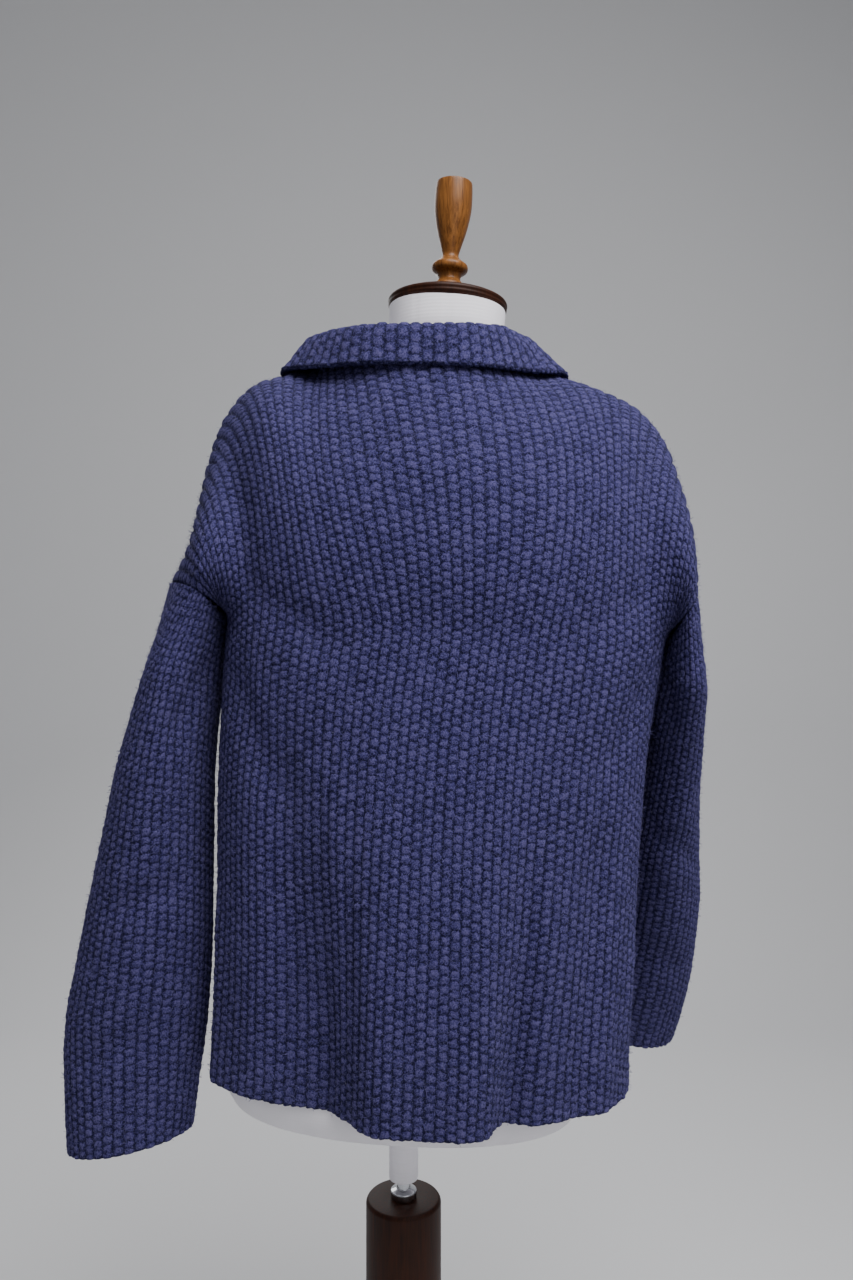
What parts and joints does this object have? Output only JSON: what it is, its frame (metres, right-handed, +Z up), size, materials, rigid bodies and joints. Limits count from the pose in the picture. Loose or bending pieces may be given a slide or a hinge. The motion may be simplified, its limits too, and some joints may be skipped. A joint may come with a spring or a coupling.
{
  "type": "button-up cardigan on a dress form",
  "caption": "Thick moss-stitch cardigan with a turned-down collar, dropped shoulders and buttoned front, worn by a limbless dress form on a wooden column stand.",
  "frame": {"origin": "centre of the round base's underside, on the pole's axis, at floor level", "axes": "+Z up along the pole; the buttoned fronts face -Y and the back +Y; the wearer's left is +X"},
  "size_m": [0.6325, 0.4205, 1.5746],
  "materials": {
    "wool": "matt, slightly fuzzy wool",
    "form_cloth": "matt cotton jersey",
    "walnut": "satin varnish",
    "chrome": "polished",
    "button": "satin"
  },
  "bodies": {
    "stand": {"base": "walnut", "column": "walnut"},
    "form": {"torso": "form_cloth", "back": "wool", "front_left": "wool", "front_right": "wool", "sleeve_left": "wool", "sleeve_right": "wool", "collar": "wool", "button_1": "button", "button_2": "button", "button_3": "button", "button_4": "button", "button_5": "button", "neck_cap": "walnut", "finial": "walnut", "pole_sleeve": "form_cloth", "pole_rod": "chrome"}
  },
  "joints": [
    {"name": "pole_slide", "type": "slide", "parent": "stand", "child": "form", "axis": [0, 0, 1], "range_m": [0, 0.25]}
  ]
}
